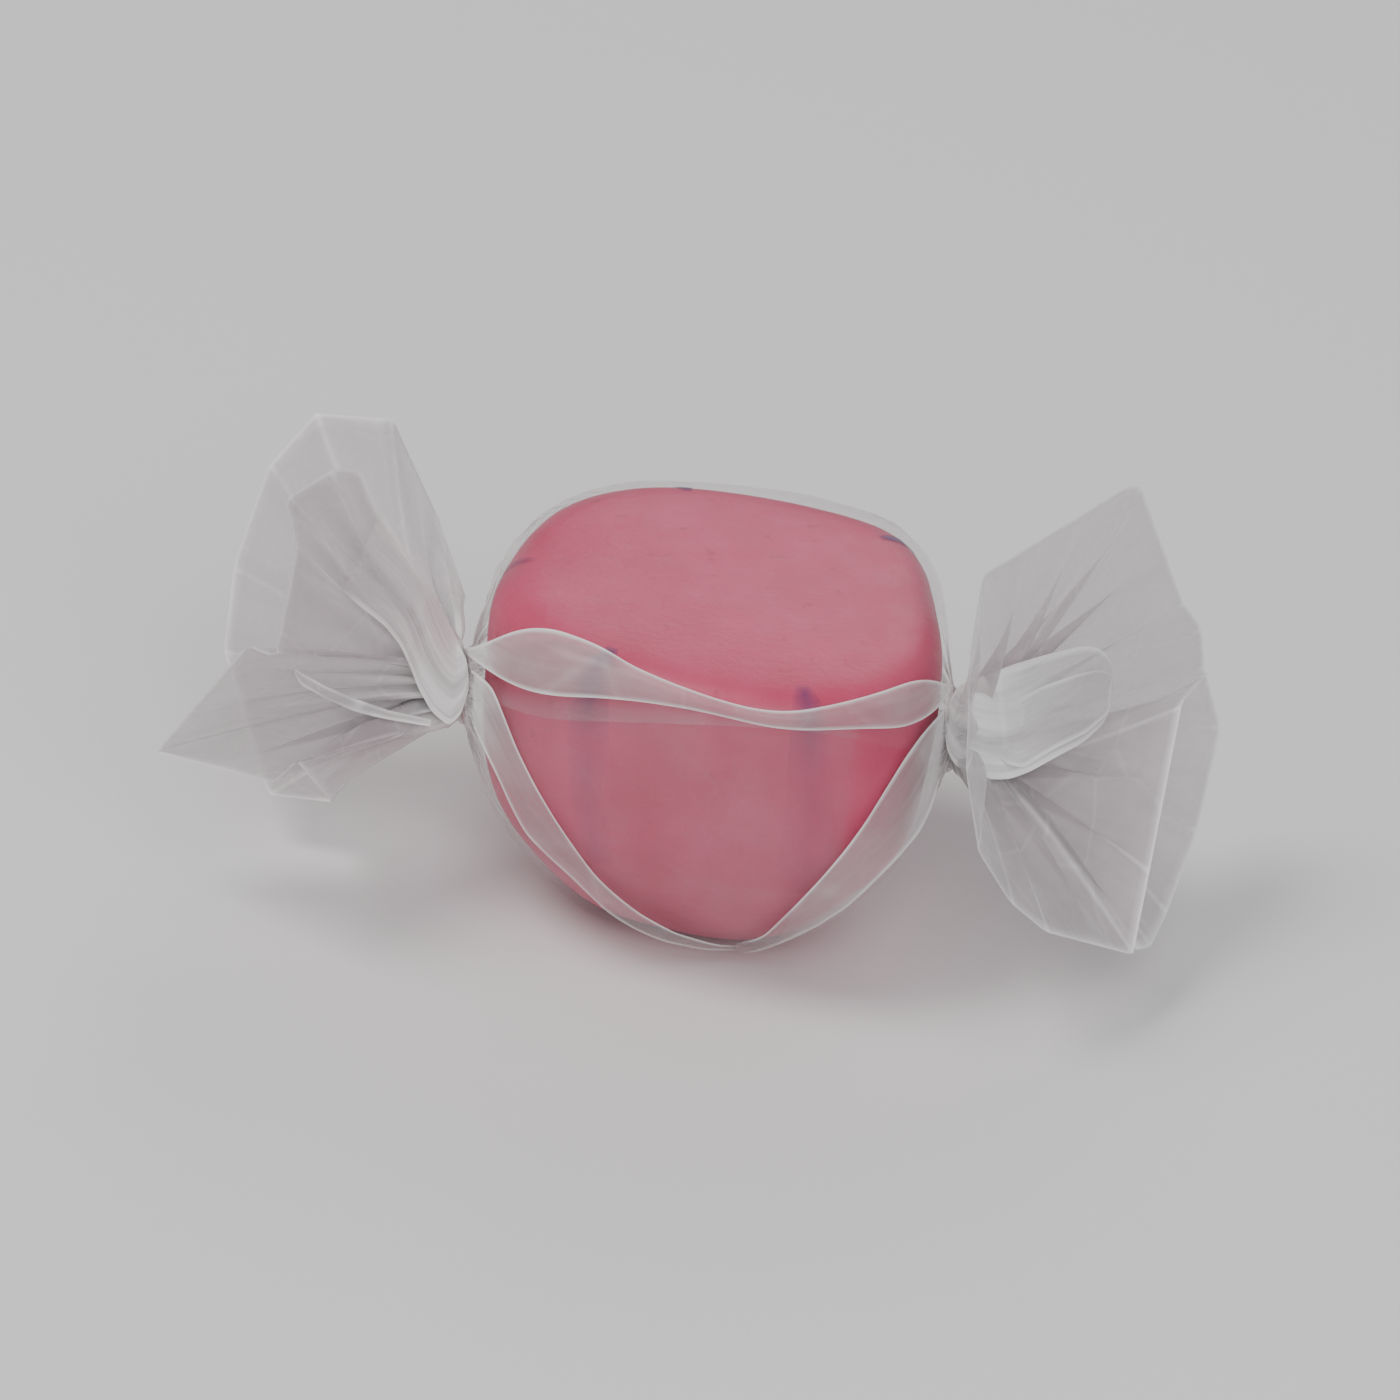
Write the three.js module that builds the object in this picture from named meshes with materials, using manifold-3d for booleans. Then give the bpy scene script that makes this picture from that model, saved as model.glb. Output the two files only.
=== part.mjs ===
// A piece of salt water taffy in a twisted waxed-paper wrapper.
// Millimetres, +Z up. The origin is the middle of the flat underside, and +X runs
// along the twist. The taffy is a puck that lies on one cut face.

import * as THREE from 'three';
import { mergeVertices } from 'three/addons/utils/BufferGeometryUtils.js';
import Module from 'manifold-3d';

const wasm = await Module();
wasm.setup();

// Taffy puck, with heights from the axis of the twist. It is a cylinder whose lower
// side tapers, like a cup. Its edges are soft, and the underside is pressed flat.
const puckRadius = 12.6;
const puckTop = 7.7;
const puckBottom = -11.2;
const puckFlat = 0.15;
const puckCrown = 0.35;
const puckTaper = 39;
const taperReach = 12.2;
const puckSoftness = 0.9;
const puckSegments = 48;
const ringSlopes = [-70, -63, -57, -49, -41, -28, -19, -7, 4, 16, 24, 28, 32, 35.5, 41, 54, 70];

// Coloured strands laid along the side of the puck, from its upper face to the taper
const strandAngles = [101, 25, -65, -120, 175];
const strandWidths = [2.6, 3.4, 3.0, 2.8, 3.3];
const strandDepth = 1.3;
const strandGap = 0.3;

// Wrapper paper, drawn thicker than the real sheet
const paperThickness = 0.35;
const paperClearance = 0.35;
const lapStart = 150;
const lapAngle = 17;
const layerStep = paperThickness + 0.3;
const rampStart = 290;
const rampEnd = 355;

// Twisted necks at both ends of the puck
const neckStart = 13.4;
const leftNeckRadius = 1.9;
const rightNeckRadius = 2.2;
const neckRidges = 7;

// Pleats of the gathered paper
const fanPleats = 5;
const bodyPleats = 11;

// Height of the twist's axis above the ground: the sheet below the puck lies on z = 0
const axisHeight = paperClearance + paperThickness - puckBottom;

// Free ends of the paper. Each rim is the cut edge as a line of straight edges and folds,
// given from the puck's middle on the twist's axis. It starts and ends at the overlap of
// the sheet, and each gather is where that end leaves its neck.
const rightFan = {
  gather: new THREE.Vector3(14.8, -0.9, 0.1),
  gatherRadius: 2.1,
  rim: [
    [24.5, -8.9, -7.9], [25.3, -8.3, -8.0], [26.2, -4.9, -7.9], [27.7, 0.4, -5.5],
    [28.9, 7.6, -2.7], [27.7, 9.7, 0.0], [27.3, 9.9, 2.4], [26.0, 9.2, 4.3],
    [22.6, 3.7, 14.1], [21.9, 2.8, 14.6], [14.0, -7.8, 13.9], [13.6, -11.4, 11.4],
    [13.9, -15.5, 6.1], [15.0, -16.0, 1.5], [17.0, -15.7, -1.6], [19.1, -15.1, -3.6],
    [24.3, -9.8, -7.7], [24.9, -6.3, -4.3], [26.0, -0.1, 3.0], [27.6, 4.7, 2.4],
  ],
};
const leftFan = {
  gather: new THREE.Vector3(-14.7, 0.1, 0.2),
  gatherRadius: 1.8,
  rim: [
    [-19.7, -5.7, 15.7], [-21.2, -5.2, 15.6], [-23.8, -4.8, 13.2], [-22.8, -8.2, 12.1],
    [-23.4, -12.4, 7.6], [-25.0, -11.7, 7.8], [-30.2, -4.2, -3.5], [-23.3, -10.8, -1.0],
    [-21.9, -12.8, 1.6], [-20.6, 0.1, -8.2], [-24.2, 1.0, -8.6], [-27.7, 9.1, -4.1],
    [-27.5, 11.1, 0.5], [-25.9, 11.5, 6.6], [-23.4, 11.3, 10.3], [-19.1, 12.2, 9.9],
    [-16.2, 14.1, 2.8], [-14.4, 13.8, -1.8],
  ],
};

const taffyPink = new THREE.MeshStandardMaterial({ color: 0xe07f90, roughness: 0.5, metalness: 0 });
const strandBlue = new THREE.MeshStandardMaterial({ color: 0x4a4f8f, roughness: 0.5, metalness: 0 });
const waxedPaper = new THREE.MeshStandardMaterial({
  color: 0xe6e0e0, roughness: 0.4, metalness: 0, transparent: true, opacity: 0.45,
});

const radians = (degrees) => THREE.MathUtils.degToRad(degrees);
const smoothstep = (value, low, high) => THREE.MathUtils.smoothstep(value, low, high);

// Solids

function toManifold(geometry) {
  const bare = geometry.clone();
  bare.deleteAttribute('normal');
  bare.deleteAttribute('uv');
  const merged = mergeVertices(bare, 1e-4);
  return new wasm.Manifold(new wasm.Mesh({
    numProp: 3,
    vertProperties: new Float32Array(merged.attributes.position.array),
    triVerts: new Uint32Array(merged.index.array),
  }));
}

// Faces much smaller than the paper is thick are merged
function toGeometry(manifold) {
  const mesh = manifold.simplify(0.004).getMesh();
  const geometry = new THREE.BufferGeometry();
  geometry.setAttribute('position', new THREE.BufferAttribute(mesh.vertProperties, 3));
  geometry.setIndex(new THREE.BufferAttribute(mesh.triVerts, 1));
  geometry.computeVertexNormals();
  return geometry;
}

function closedGeometry(points, triangles) {
  const geometry = new THREE.BufferGeometry();
  const positions = points.flatMap((point) => [point.x, point.y, point.z]);
  geometry.setAttribute('position', new THREE.Float32BufferAttribute(positions, 3));
  const volume = triangles.reduce((sum, [a, b, c]) => (
    sum + points[a].dot(points[b].clone().cross(points[c]))), 0);
  const outward = volume > 0 ? triangles : triangles.map(([a, b, c]) => [a, c, b]);
  geometry.setIndex(outward.flat());
  return geometry;
}

// A sheet with thickness: faces(i, j) gives the two sides of the sheet at a grid point
function sheetSolid(rows, columns, faces) {
  const points = [];
  for (let i = 0; i <= rows; i += 1) {
    for (let j = 0; j <= columns; j += 1) {
      points.push(...faces(i / rows, j / columns));
    }
  }
  const at = (i, j, side) => 2 * (i * (columns + 1) + j) + side;
  const triangles = [];
  const quad = (a, b, c, d) => triangles.push([a, b, c], [a, c, d]);
  for (let i = 0; i < rows; i += 1) {
    for (let j = 0; j < columns; j += 1) {
      quad(at(i, j, 0), at(i + 1, j, 0), at(i + 1, j + 1, 0), at(i, j + 1, 0));
      quad(at(i, j, 1), at(i, j + 1, 1), at(i + 1, j + 1, 1), at(i + 1, j, 1));
    }
    quad(at(i, 0, 0), at(i, 0, 1), at(i + 1, 0, 1), at(i + 1, 0, 0));
    quad(at(i, columns, 0), at(i + 1, columns, 0), at(i + 1, columns, 1), at(i, columns, 1));
  }
  for (let j = 0; j < columns; j += 1) {
    quad(at(0, j, 0), at(0, j + 1, 0), at(0, j + 1, 1), at(0, j, 1));
    quad(at(rows, j, 0), at(rows, j, 1), at(rows, j + 1, 1), at(rows, j + 1, 0));
  }
  return closedGeometry(points, triangles);
}

// A solid of rings of points, closed at both ends
function ringSolid(rings) {
  const count = rings[0].length;
  const points = rings.flat();
  const triangles = [];
  for (let i = 0; i + 1 < rings.length; i += 1) {
    for (let j = 0; j < count; j += 1) {
      const next = (j + 1) % count;
      const [a, b] = [i * count + j, i * count + next];
      triangles.push([a, b, b + count], [a, b + count, a + count]);
    }
  }
  for (const [ring, reversed] of [[0, true], [rings.length - 1, false]]) {
    const centre = points.length;
    const sum = rings[ring].reduce((total, point) => total.add(point), new THREE.Vector3());
    points.push(sum.divideScalar(count));
    for (let j = 0; j < count; j += 1) {
      const [a, b] = [ring * count + j, ring * count + ((j + 1) % count)];
      triangles.push(reversed ? [b, a, centre] : [a, b, centre]);
    }
  }
  return closedGeometry(points, triangles);
}

// Taffy

// Cut sections of taffy are never quite round: this one has four blunt corners
function outOfRound(angle) {
  const leaning = 0.022 * Math.cos(angle + 0.47) + 0.029 * Math.cos(2 * angle + 1.9);
  return 1 + leaning + 0.036 * Math.cos(3 * angle + 2.48) + 0.034 * Math.cos(4 * angle - 2.55);
}

// Distance from the puck's soft-edged surface, negative inside
function puckDistance(x, y, z) {
  const reach = Math.hypot(x, y) / outOfRound(Math.atan2(y, x));
  const taper = radians(puckTaper);
  const walls = [
    reach - puckRadius,
    z - puckTop - puckCrown * (1 - (reach / puckRadius) ** 2),
    puckBottom - puckFlat - z,
    reach * Math.cos(taper) - z * Math.sin(taper) - taperReach,
  ];
  const sum = walls.reduce((total, wall) => total + Math.exp(wall / puckSoftness), 0);
  return Math.max(puckSoftness * Math.log(sum), puckBottom - z);
}

// The largest value below the limit at which the test still holds
function lastTrue(limit, test) {
  let [low, high] = [0, limit];
  for (let step = 0; step < 30; step += 1) {
    const value = (low + high) / 2;
    if (test(value)) {
      low = value;
    } else {
      high = value;
    }
  }
  return low;
}

// The ring where rays of one slope from the puck's middle meet its surface
function puckRing(slope) {
  const ring = [];
  for (let step = 0; step < puckSegments; step += 1) {
    const angle = (step / puckSegments) * 2 * Math.PI;
    const round = outOfRound(angle) * Math.cos(radians(slope));
    const ray = new THREE.Vector3(round * Math.cos(angle), round * Math.sin(angle), 0);
    ray.z = Math.sin(radians(slope));
    const reach = lastTrue(2 * puckRadius, (value) => (
      puckDistance(value * ray.x, value * ray.y, value * ray.z) < 0));
    ring.push(ray.multiplyScalar(reach));
  }
  return ring;
}

function puckBlank() {
  return toManifold(ringSolid(ringSlopes.map(puckRing)));
}

// An oval rod along the side of the puck, widened all round by the margin
function strandRod(degrees, width, margin) {
  const angle = radians(degrees);
  const centre = new THREE.Vector2(puckRadius * outOfRound(angle), 0);
  const outline = [];
  for (let step = 0; step < 16; step += 1) {
    const turn = (step / 16) * 2 * Math.PI;
    const across = (width / 2 + margin) * Math.sin(turn);
    const point = new THREE.Vector2((strandDepth + margin) * Math.cos(turn), across);
    outline.push(point.add(centre).rotateAround(new THREE.Vector2(), angle));
  }
  const depth = 4 * puckRadius;
  const options = { depth, steps: 1, bevelEnabled: false };
  const geometry = new THREE.ExtrudeGeometry(new THREE.Shape(outline), options);
  geometry.translate(0, 0, -depth / 2);
  return toManifold(geometry);
}

function taffyGeometry(blank) {
  let taffy = blank;
  strandAngles.forEach((degrees, index) => {
    taffy = taffy.subtract(strandRod(degrees, strandWidths[index], strandGap));
  });
  return toGeometry(taffy);
}

function strandGeometry(blank, index) {
  return toGeometry(blank.intersect(strandRod(strandAngles[index], strandWidths[index], 0)));
}

// Wrapper

// Radius about the X axis at which the paper would lie on the puck, or 0 beyond it
function restingRadius(x, angle, clearance) {
  const [c, s] = [Math.cos(angle), Math.sin(angle)];
  return lastTrue(2 * puckRadius, (radius) => (
    puckDistance(x, radius * c, radius * s) < clearance));
}

// Paper radius about the X axis: on the puck, then straight to the neck
function tautRadius(x, angle, clearance) {
  const side = Math.sign(x) || 1;
  const neck = (side > 0 ? rightNeckRadius : leftNeckRadius) + clearance - paperClearance;
  let [slope, touch] = [0, 0];
  for (let step = 0; step <= 40; step += 1) {
    const station = 0.999 * (puckRadius + clearance) * Math.sin((step / 40) * Math.PI / 2);
    const rise = restingRadius(side * station, angle, clearance) - neck;
    if (rise / (neckStart - station) > slope) {
      [slope, touch] = [rise / (neckStart - station), station];
    }
  }
  const beyond = neckStart - Math.abs(x);
  return Math.abs(x) < touch ? restingRadius(x, angle, clearance) : neck + slope * beyond;
}

function bodyPoint(x, degrees, clearance) {
  const angle = radians(degrees);
  const gathered = smoothstep(Math.abs(x), puckRadius * 0.75, neckStart);
  const pleat = 0.3 * gathered * (1 + Math.cos(bodyPleats * angle + 0.5 * x));
  const radius = tautRadius(x, angle, clearance) + pleat;
  return new THREE.Vector3(x, radius * Math.cos(angle), radius * Math.sin(angle));
}

// Both faces of the paper at a point of a surface, offset along its normal
function paperFaces(surface, first, second, inner) {
  const step = 1e-3;
  const [before, after] = [Math.max(first - step, 0), Math.min(first + step, 1)];
  const across = surface(first, second + step).sub(surface(first, second - step));
  const along = surface(after, second).sub(surface(before, second));
  const normal = across.cross(along).normalize();
  const point = surface(first, second);
  return [inner, inner + paperThickness].map((offset) => point.clone().addScaledVector(normal, offset));
}

// The sheet goes once round the puck and overlaps itself at the front
function bodySheet() {
  const surface = (along, around) => {
    const turned = around * (360 + lapAngle);
    const clearance = paperClearance + layerStep * smoothstep(turned, rampStart, rampEnd);
    return bodyPoint(-neckStart * Math.cos(along * Math.PI), lapStart + turned, clearance);
  };
  return sheetSolid(24, 50, (along, around) => paperFaces(surface, along, around, 0));
}

// The solid twist between the puck and a free end
function neckSolid(fan, neckRadius) {
  const side = Math.sign(fan.gather.x);
  const start = new THREE.Vector3(side * (neckStart - 0.2), 0, 0);
  const rings = [];
  for (let step = 0; step <= 4; step += 1) {
    const along = step / 4;
    const centre = start.clone().lerp(fan.gather, along * 1.15);
    const waist = neckRadius + 0.6 + 0.9 * (1 - along) ** 3;
    const ring = [];
    for (let j = 0; j < 21; j += 1) {
      const angle = (j / 21) * 2 * Math.PI;
      const radius = waist * (1 + 0.07 * Math.cos(neckRidges * angle + side * 2 * along));
      ring.push(new THREE.Vector3(0, radius * Math.cos(angle), radius * Math.sin(angle)).add(centre));
    }
    rings.push(ring);
  }
  return ringSolid(rings);
}

// A point of the rim at a share of its length
function rimPoint(fan, share) {
  const corners = fan.rim.map((corner) => new THREE.Vector3(...corner));
  const edges = corners.slice(1).map((corner, index) => corner.distanceTo(corners[index]));
  const total = edges.reduce((sum, edge) => sum + edge, 0);
  let rest = Math.min(Math.max(share, 0), 1) * total;
  let index = 0;
  while (rest > edges[index] && index < edges.length - 1) {
    rest -= edges[index];
    index += 1;
  }
  return corners[index].clone().lerp(corners[index + 1], rest / edges[index]);
}

// The rim with its folds slightly rounded
function softRim(fan, share) {
  const spread = 0.008;
  const point = rimPoint(fan, share - spread).add(rimPoint(fan, share + spread));
  return point.add(rimPoint(fan, share)).divideScalar(3);
}

// Direction of a spoke from the gather to the rim, and the mean of all spokes
function spoke(fan, share) {
  return rimPoint(fan, share).sub(fan.gather).normalize();
}

function fanAxis(fan) {
  const sum = new THREE.Vector3();
  for (let step = 0; step < 24; step += 1) {
    sum.add(spoke(fan, (step + 0.5) / 24));
  }
  return sum.normalize();
}

function ringAngle(share) {
  return radians(lapStart + share * (360 + lapAngle));
}

// How far the twist of the neck turns the gathered paper towards its rim
function fanTwist(fan, axis) {
  const sum = new THREE.Vector2();
  for (let step = 0; step < 24; step += 1) {
    const share = (step + 0.5) / 24;
    const outward = spoke(fan, share);
    outward.addScaledVector(axis, -outward.dot(axis));
    const turn = Math.atan2(outward.z, outward.y) - ringAngle(share);
    sum.add(new THREE.Vector2(Math.cos(turn), Math.sin(turn)));
  }
  return sum.angle();
}

// Middle of the paper between the gather and the rim. It leaves the gather a little
// along the axis of the free end, and its pleats fade out towards both.
function fanPoint(fan, axis, twist, share, out) {
  const rim = softRim(fan, share);
  const direction = rim.clone().sub(fan.gather).normalize();
  const turned = ringAngle(share) + twist;
  const outward = new THREE.Vector3(0, Math.cos(turned), Math.sin(turned));
  outward.addScaledVector(axis, -outward.dot(axis)).normalize();
  const radius = fan.gatherRadius - layerStep * smoothstep(share, 0.85, 0.97);
  const ring = fan.gather.clone().addScaledVector(outward, radius);
  const bend = 0.4 * rim.distanceTo(ring);
  const control = ring.clone().addScaledVector(direction, 0.7 * bend).addScaledVector(axis, 0.3 * bend);
  const point = ring.multiplyScalar((1 - out) ** 2);
  point.addScaledVector(control, 2 * out * (1 - out)).addScaledVector(rim, out ** 2);
  const wave = Math.cos(2 * Math.PI * (fanPleats * share + 0.3));
  const lift = axis.clone().addScaledVector(outward, -0.5).normalize();
  return point.addScaledVector(lift, -1.3 * out * Math.max(1 - out, 0) ** 1.2 * wave);
}

function fanSheet(fan) {
  const axis = fanAxis(fan);
  const twist = fanTwist(fan, axis);
  const surface = (out, share) => fanPoint(fan, axis, twist, share, out);
  return sheetSolid(8, 52, (out, share) => paperFaces(surface, out, share, -paperThickness / 2));
}

function wrapperGeometry() {
  const pieces = [
    bodySheet(),
    neckSolid(leftFan, leftNeckRadius),
    neckSolid(rightFan, rightNeckRadius),
    fanSheet(leftFan),
    fanSheet(rightFan),
  ];
  return toGeometry(pieces.map(toManifold).reduce((joined, piece) => joined.add(piece)));
}

// Assembly

const candy = new THREE.Group();

function place(name, geometry, material) {
  const mesh = new THREE.Mesh(geometry, material);
  mesh.name = name;
  mesh.position.z = axisHeight;
  candy.add(mesh);
}

const blank = puckBlank();
place('taffy', taffyGeometry(blank), taffyPink);
strandAngles.forEach((degrees, index) => {
  place(`stripe_${index + 1}`, strandGeometry(blank, index), strandBlue);
});
place('wrapper', wrapperGeometry(), waxedPaper);

export default candy;
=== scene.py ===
# A wrapped piece of salt water taffy on a pale floor.
# The paper is worked out in millimetres from the middle of the twist's axis and then put in place.

import math

import bmesh
import bpy
import numpy as np
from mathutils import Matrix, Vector


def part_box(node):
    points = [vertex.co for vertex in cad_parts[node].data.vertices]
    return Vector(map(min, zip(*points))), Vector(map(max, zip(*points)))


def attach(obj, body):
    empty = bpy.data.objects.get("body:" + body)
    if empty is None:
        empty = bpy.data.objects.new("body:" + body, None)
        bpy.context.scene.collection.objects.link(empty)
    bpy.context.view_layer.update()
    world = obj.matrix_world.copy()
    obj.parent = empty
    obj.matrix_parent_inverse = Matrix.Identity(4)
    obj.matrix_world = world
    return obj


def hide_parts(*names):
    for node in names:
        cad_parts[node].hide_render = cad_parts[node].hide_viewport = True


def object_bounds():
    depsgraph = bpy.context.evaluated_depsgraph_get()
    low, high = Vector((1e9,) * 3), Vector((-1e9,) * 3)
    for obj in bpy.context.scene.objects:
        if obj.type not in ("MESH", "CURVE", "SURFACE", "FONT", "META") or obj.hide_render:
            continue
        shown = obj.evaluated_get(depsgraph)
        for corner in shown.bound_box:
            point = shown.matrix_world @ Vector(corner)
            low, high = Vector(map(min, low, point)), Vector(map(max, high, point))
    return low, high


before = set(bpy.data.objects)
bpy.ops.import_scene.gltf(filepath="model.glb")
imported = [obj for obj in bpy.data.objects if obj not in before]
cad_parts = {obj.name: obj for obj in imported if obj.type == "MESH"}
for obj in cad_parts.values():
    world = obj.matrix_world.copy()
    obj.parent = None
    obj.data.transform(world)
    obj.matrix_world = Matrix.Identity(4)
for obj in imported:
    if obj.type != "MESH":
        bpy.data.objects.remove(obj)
cadBox = [list(corner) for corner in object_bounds()]

millimetre = 0.001

# Heights are from the axis of the twist, in millimetres
puck = {
    "radius": 12.6,
    "top": 7.7,
    "bottom": -11.2,
    "flat": 0.15,
    "crown": 0.35,
    "taper": math.radians(39),
    "taperReach": 12.2,
    "softness": 0.9,
    "lobes": [(1, 0.022, 0.47), (2, 0.029, 1.9), (3, 0.036, 2.48), (4, 0.034, -2.55)],
    "paperBelow": 0.7,  # solid paper under the puck, with its gap
}
axisHeight = puck["paperBelow"] - puck["bottom"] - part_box("wrapper")[0][2] / millimetre


# Small helpers

def smoothStep(value, low, high):
    share = np.clip((np.asarray(value, float) - low) / (high - low), 0, 1)
    return share * share * (3 - 2 * share)


def outOfRound(angle):
    share = 1
    for count, size, phase in puck["lobes"]:
        share = share + size * np.cos(count * angle + phase)
    return share


# Distance from the puck and the direction away from it
def fromPuck(x, y, z):
    across = np.hypot(x, y)
    reach = across / outOfRound(np.arctan2(y, x))
    slope, rise = math.cos(puck["taper"]), math.sin(puck["taper"])
    walls = np.stack([
        reach - puck["radius"],
        z - puck["top"] - puck["crown"] * (1 - (reach / puck["radius"]) ** 2),
        puck["bottom"] - puck["flat"] - z,
        reach * slope - z * rise - puck["taperReach"],
    ])
    weight = np.exp(walls / puck["softness"])
    total = weight.sum(0)
    side, top, bottom, taper = weight / total
    outward = side + slope * taper + top * 2 * puck["crown"] * reach / puck["radius"] ** 2
    upward = top - bottom - rise * taper
    flat = np.maximum(across, 1e-6)
    away = np.stack([outward * x / flat, outward * y / flat, upward], -1)
    away = away / np.linalg.norm(away, axis=-1)[..., None]
    distance = puck["softness"] * np.log(total)
    below = puck["bottom"] - z
    away = np.where((below > distance)[..., None], (0, 0, -1), away)
    return np.maximum(distance, below), away


def puckDistance(place):
    return fromPuck(place[..., 0], place[..., 1], place[..., 2])[0]


def addObject(name, mesh, replaced):
    piece = bpy.data.objects.new(name, mesh)
    bpy.context.collection.objects.link(piece)
    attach(piece, "root")
    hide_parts(*replaced)


def writeAttribute(mesh, name, values):
    layer = mesh.attributes.new(name, "FLOAT" if values.ndim == 1 else "FLOAT_VECTOR", "POINT")
    key = "value" if values.ndim == 1 else "vector"
    layer.data.foreach_set(key, np.ascontiguousarray(values, np.float32).ravel())


# Shader maths

class Signal:
    def __init__(self, shader, socket):
        self.shader = shader
        self.socket = socket

    def maths(self, operation, first, second=0.0, clamp=False):
        settings = {"operation": operation, "use_clamp": clamp}
        return self.shader.node("ShaderNodeMath", settings, {0: first, 1: second})

    def __add__(self, other):
        return self.maths("ADD", self, other)

    def __radd__(self, other):
        return self.maths("ADD", other, self)

    def __sub__(self, other):
        return self.maths("SUBTRACT", self, other)

    def __rsub__(self, other):
        return self.maths("SUBTRACT", other, self)

    def __mul__(self, other):
        return self.maths("MULTIPLY", self, other)

    def __rmul__(self, other):
        return self.maths("MULTIPLY", other, self)

    def clamped(self):
        return self.maths("ADD", self, 0.0, clamp=True)


class Shader:
    def __init__(self, name):
        self.material = bpy.data.materials.new(name)
        self.material.use_nodes = True
        self.tree = self.material.node_tree
        self.tree.nodes.clear()

    def node(self, kind, settings, inputs, output=0):
        made = self.tree.nodes.new(kind)
        for key, value in settings.items():
            setattr(made, key, value)
        for key, value in inputs.items():
            if isinstance(value, Signal):
                self.tree.links.new(value.socket, made.inputs[key])
            else:
                made.inputs[key].default_value = value
        return Signal(self, made.outputs[output]) if len(made.outputs) else None

    def objectPoint(self):
        return self.node("ShaderNodeTexCoord", {}, {}, "Object")

    def attribute(self, name, output="Fac"):
        return self.node("ShaderNodeAttribute", {"attribute_name": name}, {}, output)

    def noise(self, point, scale, detail=3.0, roughness=0.5):
        inputs = {"Vector": point, "Scale": scale, "Detail": detail, "Roughness": roughness}
        return self.node("ShaderNodeTexNoise", {}, inputs)

    def ramp(self, factor, low, high):
        inputs = {"Value": factor, 1: low, 2: high, 3: 0.0, 4: 1.0}
        return self.node("ShaderNodeMapRange", {"clamp": True}, inputs)

    def mix(self, factor, first, second):
        colours = {6: first if isinstance(first, Signal) else (*first, 1),
                   7: second if isinstance(second, Signal) else (*second, 1)}
        return self.node("ShaderNodeMix", {"data_type": "RGBA"}, {0: factor, **colours}, 2)

    def bump(self, height, strength, distance):
        inputs = {"Height": height, "Strength": strength, "Distance": distance}
        return self.node("ShaderNodeBump", {}, inputs)

    def finish(self, surface):
        self.node("ShaderNodeOutputMaterial", {}, {"Surface": surface})
        return self.material


# Taffy

taffyLook = {
    "pink": (0.55, 0.052, 0.125),
    "palePink": (0.62, 0.07, 0.16),
    "deepPink": (0.42, 0.04, 0.08),
    "roughness": 0.42,
    "cloudScale": 170,
    "streakScale": 620,
    "fleckScale": 900,
    "grainScale": 2200,
    "relief": 0.00025,
    "rings": 72,
    "segments": 168,
    "dent": 0.13,
    "plump": 0.3,
    "shoulder": 0.35,
    "scatter": 0.22,
    "scatterReach": (0.0030, 0.0011, 0.0010),
}


def taffyMaterial():
    shader = Shader("taffyCandy")
    point = shader.objectPoint()
    cloud = shader.noise(point, taffyLook["cloudScale"], 4, 0.55)
    pulled = shader.node("ShaderNodeMapping", {}, {"Vector": point, "Scale": (1, 1, 0.3)})
    streak = shader.noise(pulled, taffyLook["streakScale"], 3, 0.6)
    fleck = shader.noise(point, taffyLook["fleckScale"], 2, 0.5)
    base = shader.mix(shader.ramp(cloud, 0.35, 0.68), taffyLook["pink"], taffyLook["palePink"])
    base = shader.mix(shader.ramp(streak, 0.5, 0.75) * 0.45, base, taffyLook["palePink"])
    base = shader.mix(shader.ramp(fleck, 0.66, 0.74) * 0.55, base, taffyLook["deepPink"])
    grain = shader.noise(point, taffyLook["grainScale"], 4, 0.6)
    surface = shader.node("ShaderNodeBsdfPrincipled", {}, {
        "Base Color": base,
        "Roughness": shader.ramp(streak, 0.2, 0.8) * 0.16 + (taffyLook["roughness"] - 0.08),
        "Normal": shader.bump(grain * 0.6 + cloud, 0.35, taffyLook["relief"]),
        "Subsurface Weight": taffyLook["scatter"],
        "Subsurface Radius": taffyLook["scatterReach"],
        "Subsurface Scale": 1.0,
        "IOR": 1.46,
    })
    return shader.finish(surface)


# Radius and height along the puck's outline, from the underside's middle to the top's, or
# along the side and the rim alone from a height upwards
def puckOutline(count, fromHeight=None):
    steepest = math.pi / 2 - 0.02
    slopes = np.linspace(-steepest, steepest, 500)
    low, high = np.zeros_like(slopes), np.full_like(slopes, 3 * puck["radius"])
    for step in range(40):
        reach = (low + high) / 2
        radius, height = reach * np.cos(slopes), reach * np.sin(slopes)
        inside = fromPuck(radius * outOfRound(0), 0 * radius, height)[0] < 0
        low, high = np.where(inside, reach, low), np.where(inside, high, reach)
    if fromHeight is not None:
        kept = (height > fromHeight) & (radius > puck["radius"] - stripeLook["overRim"])
        radius, height = radius[kept], height[kept]
    length = np.append(0, np.cumsum(np.hypot(np.diff(radius), np.diff(height))))
    even = np.linspace(0, length[-1], count)
    return np.stack([np.interp(even, length, radius), np.interp(even, length, height)], 1)


# Soft unevenness of hand-warm candy, in millimetres
def candyDent(x, y, z):
    waves = math.sin(0.31 * x + 0.9) * math.cos(0.27 * y - 0.4) + 0.6 * math.sin(0.45 * z + 0.23 * x)
    waves = waves + 0.5 * math.sin(0.6 * y + 0.33 * z + 1.3)
    return taffyLook["dent"] * (waves - 0.6)


# The puck's upper right shoulder stands out further
def rightShoulder(x, z):
    return smoothStep(x, 5, 10.5) * smoothStep(z, -2, 3)


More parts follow.
